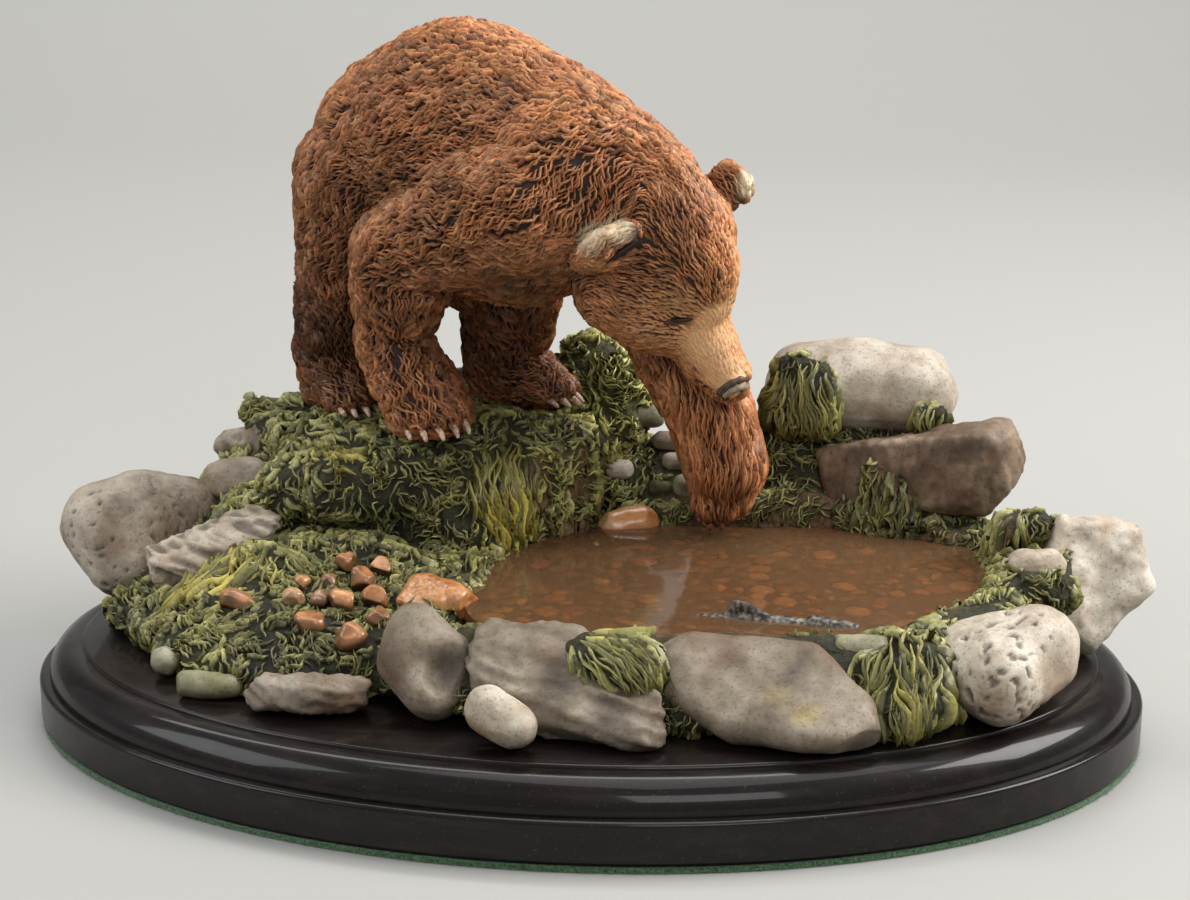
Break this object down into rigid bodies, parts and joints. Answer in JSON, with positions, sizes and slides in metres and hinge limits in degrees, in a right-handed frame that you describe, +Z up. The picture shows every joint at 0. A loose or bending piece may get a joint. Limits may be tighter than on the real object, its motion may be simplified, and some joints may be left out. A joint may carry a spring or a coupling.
{
  "type": "grizzly bear figurine",
  "caption": "Painted resin figurine of a brown bear reaching a forepaw into a rock pool with a salmon, on an oval dark wood plinth with a baize pad.",
  "frame": {"origin": "centre of the baize pad's underside, where the figurine rests", "axes": "+Z up, +X to the right along the plinth's long axis as the front is seen, +Y away from the front"},
  "size_m": [0.3022, 0.192, 0.1826],
  "materials": {
    "bear_coat": "hand-painted cast resin, chestnut with dark grooves and tan tips, satin",
    "ground": "hand-painted cast resin, grey-beige stones and olive moss, matt to satin",
    "clear_resin": "glossy clear brown-tinted casting resin",
    "fish_skin": "painted dark grey with speckles, glossy",
    "dark_wood": "very dark stained and satin-lacquered hardwood",
    "baize": "green felt"
  },
  "bodies": {
    "root": {"bear": "bear_coat", "rock_pool": "ground", "pool_water": "clear_resin", "fish": "fish_skin", "plinth": "dark_wood", "felt_pad": "baize"}
  },
  "joints": []
}
